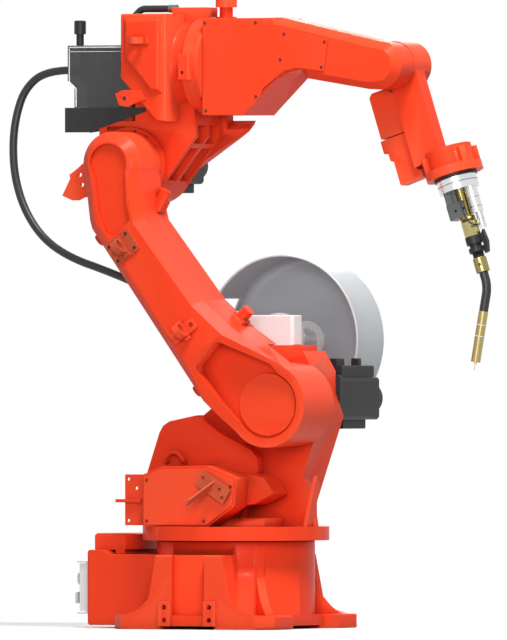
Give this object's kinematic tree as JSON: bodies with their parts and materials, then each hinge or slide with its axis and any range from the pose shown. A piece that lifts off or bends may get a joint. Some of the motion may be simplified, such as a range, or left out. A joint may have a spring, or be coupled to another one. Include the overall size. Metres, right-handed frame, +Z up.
{
  "type": "welding robot arm",
  "caption": "Floor-standing articulated arc-welding robot arm with cast body, offset wrist, wire feeder behind the elbow, spool cover, conduit and bent torch",
  "frame": {"origin": "Centre of the four foot bolts on the floor plane, on the first axis", "axes": "+Z up along the first axis, +X the way the arm reaches at rest, +Y the far side, away from the upper arm"},
  "size_m": [1.122, 0.684, 1.3206],
  "materials": {
    "orange_paint": "gloss paint on castings and covers",
    "light_panel": "white panel",
    "motor_black": "black motor paint",
    "white_paint": "white powder coat",
    "spindle_plastic": "milky plastic",
    "cover_grey": "light grey moulding",
    "black_sheet": "black powder coat",
    "feeder_dark": "dark moulding",
    "bright_steel": "machined bright",
    "clear_plastic": "clear moulded case",
    "hose_black": "black rubber",
    "holder_grey": "grey machined block",
    "torch_brass": "turned brass"
  },
  "bodies": {
    "base": {"base_casting": "orange_paint", "base_rear_box": "orange_paint", "base_rear_hood": "orange_paint", "base_connector_panel": "light_panel"},
    "turret": {"turret_casting": "orange_paint", "turret_side_cover": "orange_paint", "turret_side_bracket": "orange_paint", "turret_rear_plate": "orange_paint", "j2_motor": "motor_black", "spool_bracket": "white_paint", "spool_spindle": "spindle_plastic", "spool_cover": "cover_grey", "conduit_adapter": "bright_steel", "conduit_lower": "hose_black"},
    "upper_arm": {"upper_arm_casting": "orange_paint", "arm_cap": "orange_paint", "arm_upper_clip": "orange_paint", "arm_lower_clip": "orange_paint", "conduit_clip": "orange_paint", "conduit_upper": "hose_black"},
    "elbow": {"elbow_casting": "orange_paint", "elbow_side_cover": "orange_paint", "elbow_hose_clip": "orange_paint", "elbow_clamp": "orange_paint", "j4_stop_block": "orange_paint", "j3_motor": "motor_black", "feeder_tray": "black_sheet", "feeder_body": "feeder_dark", "feeder_rollers": "bright_steel", "feeder_case": "clear_plastic", "feeder_knob": "feeder_dark", "feeder_gland": "bright_steel", "torch_cable": "hose_black", "cable_collar": "bright_steel"},
    "forearm": {"forearm_casting": "orange_paint", "forearm_near_cover": "orange_paint", "forearm_far_cover": "orange_paint"},
    "wrist": {"wrist_casting": "orange_paint", "wrist_motor_cover": "orange_paint"},
    "tool": {"flange_ring": "hose_black", "tool_flange": "bright_steel", "torch_holder": "holder_grey", "torch_body": "torch_brass", "torch_sensor": "bright_steel", "torch_clamp": "feeder_dark", "torch_collar": "torch_brass", "torch_neck": "hose_black", "torch_nozzle": "torch_brass", "torch_tip": "torch_brass"}
  },
  "joints": [
    {"name": "j1_turn", "type": "hinge", "parent": "base", "child": "turret", "pos_m": [0, 0, 0.1993], "axis": [0, 0, 1], "range_deg": [-170, 170]},
    {"name": "j2_lower_arm", "type": "hinge", "parent": "turret", "child": "upper_arm", "pos_m": [0.15, 0, 0.47], "axis": [0, 1, 0], "range_deg": [-24, 90], "deforming": ["conduit_lower"]},
    {"name": "j3_upper_arm", "type": "hinge", "parent": "upper_arm", "child": "elbow", "pos_m": [-0.21443, 0, 0.97159], "axis": [0, -1, 0], "range_deg": [-28, 120], "deforming": ["conduit_upper"]},
    {"name": "j4_roll", "type": "hinge", "parent": "elbow", "child": "forearm", "pos_m": [-0.04743, 0, 1.17959], "axis": [1, 0, 0], "range_deg": [-150, 150]},
    {"name": "j5_bend", "type": "hinge", "parent": "forearm", "child": "wrist", "pos_m": [0.36857, 0, 1.17959], "axis": [0, -1, 0], "range_deg": [-28, 172]},
    {"name": "j6_turn", "type": "hinge", "parent": "wrist", "child": "tool", "pos_m": [0.42373, 0.02, 1.19751], "axis": [0.309, 0, -0.9511], "range_deg": [-360, 360]}
  ]
}
